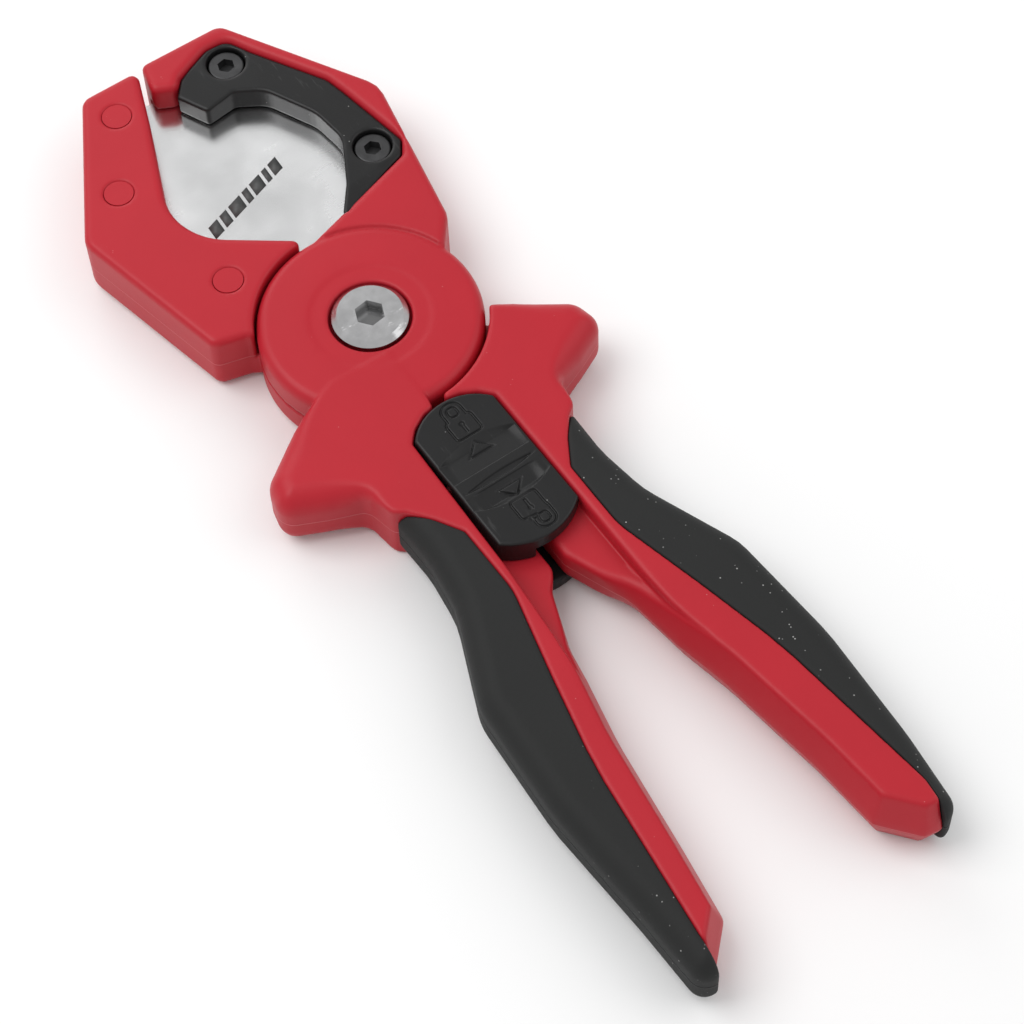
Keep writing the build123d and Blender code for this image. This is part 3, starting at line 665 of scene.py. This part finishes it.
nylonLook = {"colour": (0.435, 0.0135, 0.0245, 1), "rough": 0.42, "grain": 2600, "grainDepth": 0.000012,
            "mottle": 55, "line": mid * mm, "lineWidth": 0.00012}


def redNylon(name, s):
    # satin moulded plastic: fine grain, faint flow marks, pale dust, and a light parting line at the middle
    t = Tree(name, IOR=1.5, Specular_IOR_Level=0.27)
    mottle = t.noise(s["mottle"], 4, 0.6)
    fine = t.noise(s["grain"], 2)
    flow = t.noise(120, 3, 0.55, (1.0, 0.25, 1.0))
    dust = t.step(t.dots(900), 0.10, 0.06) * t.step(t.noise(260, 2), 0.62, 0.7)
    wander = t.noise(70, 2) * 0.0003 - 0.00015
    line = t.step(abs(t.z - s["line"] + wander), s["lineWidth"], s["lineWidth"] * 0.35)
    base = t.mix(mottle, shade(s["colour"], 0.93), shade(s["colour"], 1.07))
    base = t.mix(dust * 0.35, base, (0.75, 0.42, 0.42, 1))
    base = t.mix(line * 0.45, base, (0.74, 0.26, 0.27, 1))
    rough = flow * 0.10 + fine * 0.06 + (s["rough"] - 0.08)
    normal = t.bump(fine, s["grainDepth"])
    normal = t.bump(t.noise(420, 3), 0.00002, normal)
    normal = t.bump(line, 0.00008, normal)
    return t.feed(Base_Color=base, Roughness=rough, Normal=normal)


gripLook = {"colour": (0.0170, 0.0174, 0.0172, 1), "rough": 0.66, "grain": 1900, "grainDepth": 0.00003,
           "flash": mid * mm, "flashWidth": 0.00030}


def softGrip(name, s):
    # matte elastomer: an eggshell grain, rubbed patches, white dust, and a wavy flash line round the middle
    t = Tree(name, IOR=1.48, Specular_IOR_Level=0.24)
    grain = t.noise(s["grain"], 3, 0.6)
    patch = t.noise(48, 4, 0.6)
    dustSpread = t.step(t.noise(30, 2), 0.42, 0.6)
    dust = t.step(t.dots(900), 0.15, 0.09) * t.step(t.noise(480, 2), 0.54, 0.62) * dustSpread
    wave = (t.noise(95, 3, 0.6) - 0.5) * 0.0022
    flash = t.step(abs(t.z - s["flash"] + wave), s["flashWidth"], s["flashWidth"] * 0.2)
    base = t.mix(patch, shade(s["colour"], 0.82), shade(s["colour"], 1.2))
    base = t.mix(dust * 0.8, base, (0.42, 0.42, 0.41, 1))
    base = t.mix(flash * 0.6, base, (0.008, 0.008, 0.008, 1))
    rough = patch * 0.14 + grain * 0.08 + (s["rough"] - 0.11)
    normal = t.bump(grain, s["grainDepth"])
    normal = t.bump(t.noise(330, 3), 0.00004, normal)
    normal = t.bump(flash, 0.00025, normal)
    return t.feed(Base_Color=base, Roughness=rough, Normal=normal)


blackLook = {"colour": (0.0105, 0.0105, 0.0108, 1), "rough": 0.36, "grain": 2400, "grainDepth": 0.000012}


def blackNylon(name, s):
    # harder black plastic with a low sheen, flow marks, scuffs and a little dust
    t = Tree(name, IOR=1.5, Specular_IOR_Level=0.28)
    grain = t.noise(s["grain"], 2)
    flow = t.noise(90, 4, 0.6, (1.0, 0.35, 1.0))
    scuff = t.step(t.noise(900, 3, 0.7, (1.0, 0.12, 1.0)), 0.62, 0.74)
    dust = t.step(t.dots(700), 0.10, 0.05) * t.step(t.noise(420, 2), 0.6, 0.68)
    base = t.mix(flow, shade(s["colour"], 0.8), shade(s["colour"], 1.25))
    base = t.mix(dust * 0.7, base, (0.35, 0.35, 0.34, 1))
    base = t.mix(scuff * 0.22, base, (0.09, 0.09, 0.09, 1))
    rough = flow * 0.12 + scuff * 0.12 + (s["rough"] - 0.06)
    normal = t.bump(grain, s["grainDepth"])
    normal = t.bump(flow, 0.00005, normal)
    return t.feed(Base_Color=base, Roughness=rough, Normal=normal)


bladeLook = {"colour": (0.86, 0.865, 0.87, 1), "rough": 0.17, "grind": 2600}


def bladeSteel(name, s):
    # polished sheet: faint grinding lines along the blade, cloudy smudges and a few pale spots
    t = Tree(name, Metallic=1.0)
    lines = t.noise(s["grind"], 2, 0.5, (0.06, 1.0, 1.0))
    cloud = t.noise(75, 5, 0.62)
    smear = t.noise(28, 4, 0.6)
    spots = t.step(t.dots(130), 0.05, 0.03) * t.step(t.noise(90, 2), 0.58, 0.64)
    base = t.mix(cloud, shade(s["colour"], 0.93), shade(s["colour"], 1.06))
    base = t.mix(spots * 0.5, base, (0.45, 0.45, 0.45, 1))
    rough = t.step(smear, 0.42, 0.70) * 0.14 + lines * 0.05 + cloud * 0.06 + (s["rough"] - 0.07)
    normal = t.bump(lines, 0.000004)
    normal = t.bump(t.noise(60, 3), 0.00002, normal)
    return t.feed(Base_Color=base, Roughness=rough, Normal=normal)


# the last value sets how dark the painted shade deep in the bolt's centre recess is
zincLook = {"colour": (0.60, 0.60, 0.605, 1), "rough": 0.2, "ringScale": 11000, "ringDepth": 0.0000018,
            "face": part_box("pivot_bolt")[1][2], "paintedRecessShade": 0.72}


def zincSteel(name, s, turned=True):
    # plated turned steel: rings round the pivot axis, short scratches, darker stains and painted shade deep
    # in the centre recess
    t = Tree(name, Metallic=1.0)
    radius = (t.x * t.x + t.y * t.y) ** 0.5
    if turned:
        rings = (radius * s["ringScale"] + t.noise(300, 2) * 2.0).calc("SINE") * 0.5 + 0.5
    else:
        rings = t.noise(1500, 2)
    scratch = t.step(t.noise(500, 4, 0.75, (0.25, 1.0, 1.0)), 0.60, 0.66)
    stain = t.noise(330, 5, 0.65)
    base = t.mix(stain, shade(s["colour"], 0.72), shade(s["colour"], 1.2))
    # painted shade: the colour is darkened deep down in the centre recess round the axis, where shade falls
    sunk = t.step(s["face"] - t.z, 0.0003, 0.0016) * t.step(radius, 0.0032, 0.0029)
    base = t.mix(sunk * s["paintedRecessShade"], base, (0.10, 0.10, 0.10, 1))
    base = t.mix(scratch * 0.35, base, (0.80, 0.80, 0.80, 1))
    rough = stain * 0.14 + rings * 0.02 + (s["rough"] - 0.08)
    normal = t.bump(rings, s["ringDepth"])
    normal = t.bump(scratch, 0.00001, normal)
    return t.feed(Base_Color=base, Roughness=rough, Normal=normal)


def blackOxide(name):
    # blackened screw steel, lighter where the oxide is thin
    t = Tree(name, Metallic=0.75)
    cloud = t.noise(420, 4, 0.6)
    fine = t.noise(2600, 2)
    base = t.mix(cloud, (0.035, 0.035, 0.036, 1), (0.085, 0.085, 0.087, 1))
    return t.feed(Base_Color=base, Roughness=cloud * 0.18 + fine * 0.05 + 0.26, Normal=t.bump(fine, 0.000008))


def springSteel(name):
    # drawn wire, slightly browned
    t = Tree(name, Metallic=1.0)
    cloud = t.noise(260, 3)
    base = t.mix(cloud, (0.28, 0.27, 0.26, 1), (0.42, 0.41, 0.40, 1))
    return t.feed(Base_Color=base, Roughness=cloud * 0.15 + 0.26, Normal=t.bump(t.noise(1800, 2), 0.000006))


def naturalNylon(name):
    # creamy plastic washer with a faint grain
    t = Tree(name, IOR=1.5)
    cloud = t.noise(150, 3)
    base = t.mix(cloud, (0.68, 0.67, 0.60, 1), (0.76, 0.75, 0.68, 1))
    return t.feed(Base_Color=base, Roughness=cloud * 0.1 + 0.42, Normal=t.bump(t.noise(1500, 2), 0.00001))


def bladeInk(name):
    # printed grey-black mark, thin in places
    t = Tree(name)
    worn = t.noise(900, 4, 0.6)
    base = t.mix(worn, (0.035, 0.036, 0.036, 1), (0.075, 0.077, 0.077, 1))
    return t.feed(Base_Color=base, Roughness=worn * 0.2 + 0.4, Normal=t.bump(worn, 0.000005))


redFinish = redNylon("redNylon", nylonLook)
gripFinish = softGrip("softGrip", gripLook)
blackFinish = blackNylon("blackNylon", blackLook)
turnedFinish = zincSteel("zincTurned", zincLook)
plainZinc = zincSteel("zincPlain", zincLook, False)
springFinish = springSteel("springWire")
finishes = {
    "anvilLever": redFinish, "bladeLever": redFinish, "blade_pegs": redFinish,
    "anvilGrip": gripFinish, "bladeGrip": gripFinish,
    "frontAnvil": blackFinish, "rearAnvil": blackFinish, "frontSlide": blackFinish, "rearSlide": blackFinish,
    "blade": bladeSteel("bladeSteel", bladeLook), "bladeMark": bladeInk("bladeInk"),
    "pivot_bolt": turnedFinish, "pivot_barrel": turnedFinish,
    "front_washer": turnedFinish, "rear_washer": turnedFinish,
    "anvil_nuts": plainZinc, "lock_ball": plainZinc, "anvil_screws": blackOxide("blackOxide"),
    "thrust_washer": naturalNylon("naturalNylon"),
    "return_spring": springFinish, "lock_ball_spring": springFinish}
for name, finish in finishes.items():
    slots = bpy.data.objects[name].data.materials
    slots.clear()
    slots.append(finish)
print("finishes ready")

# camera, floor and light

cameraSet = {"azimuth": -32.52, "elevation": 58.87, "roll": -2.87, "distance": 0.5037, "lens": 101.8,
             "aim": (-0.0030, -0.0493)}


def makeCamera(s):
    # stands at a distance from the aim along azimuth and elevation, then rolls about its own line of sight
    a, e, r = (math.radians(s[k]) for k in ("azimuth", "elevation", "roll"))
    back = Vector((math.sin(a) * math.cos(e), -math.cos(a) * math.cos(e), math.sin(e)))
    right = Vector((math.cos(a), math.sin(a), 0))
    up = back.cross(right)
    turned = right * math.cos(r) + up * math.sin(r)
    camera = bpy.data.objects.new("camera", bpy.data.cameras.new("camera"))
    camera.data.lens = s["lens"]
    camera.data.sensor_width = 36
    aim = Vector((*s["aim"], leverBox[1][2]))
    side = back.cross(turned)
    camera.matrix_world = Matrix.Translation(aim + back * s["distance"]) @ Matrix(
        (turned, side, back)).transposed().to_4x4()
    bpy.context.scene.collection.objects.link(camera)
    bpy.context.scene.camera = camera


makeCamera(cameraSet)

studioSet = {
    "floor": (0.90, 0.90, 0.90, 1), "floorHalf": 3.0, "floorDrop": 0.1, "sky": (1.0, 1.0, 1.0, 1),
    "skyStrength": 0.64,
    # each lamp's name, place, side and power
    "lamps": [("keyLamp", (-0.35, 0.25, 0.75), 0.6, 3.6), ("fillLamp", (0.55, -0.35, 0.60), 0.7, 1.4),
              ("rimLamp", (0.10, 0.70, 0.35), 0.5, 1.2)]}


def makeStudio(s):
    # one wide floor just under the tool, a white surround and three large square lamps aimed at the pivot
    level, half = cadLow[2] - s["floorDrop"] * mm, s["floorHalf"]
    mesh = bpy.data.meshes.new("studioFloor")
    corners = [(-half, -half, level), (half, -half, level), (half, half, level), (-half, half, level)]
    mesh.from_pydata(corners, [], [(0, 1, 2, 3)])
    floor = bpy.data.objects.new("studioFloor", mesh)
    bpy.context.scene.collection.objects.link(floor)
    paint = Tree("paleFloor", Roughness=0.75, Specular_IOR_Level=0.1)
    pale = paint.mix(paint.noise(6, 2), shade(s["floor"], 0.995), shade(s["floor"], 1.005))
    mesh.materials.append(paint.feed(Base_Color=pale))
    world = bpy.data.worlds.new("surround")
    world.use_nodes = True
    world.node_tree.nodes["Background"].inputs[0].default_value = s["sky"]
    world.node_tree.nodes["Background"].inputs[1].default_value = s["skyStrength"]
    bpy.context.scene.world = world
    bpy.context.scene.view_settings.view_transform = "Standard"
    for name, spot, size, power in s["lamps"]:
        lamp = bpy.data.objects.new(name, bpy.data.lights.new(name, "AREA"))
        lamp.data.size, lamp.data.energy = size, power
        turn = Vector(spot).to_track_quat("Z", "Y")
        lamp.matrix_world = Matrix.Translation(spot) @ turn.to_matrix().to_4x4()
        bpy.context.scene.collection.objects.link(lamp)


makeStudio(studioSet)
print("studio ready")
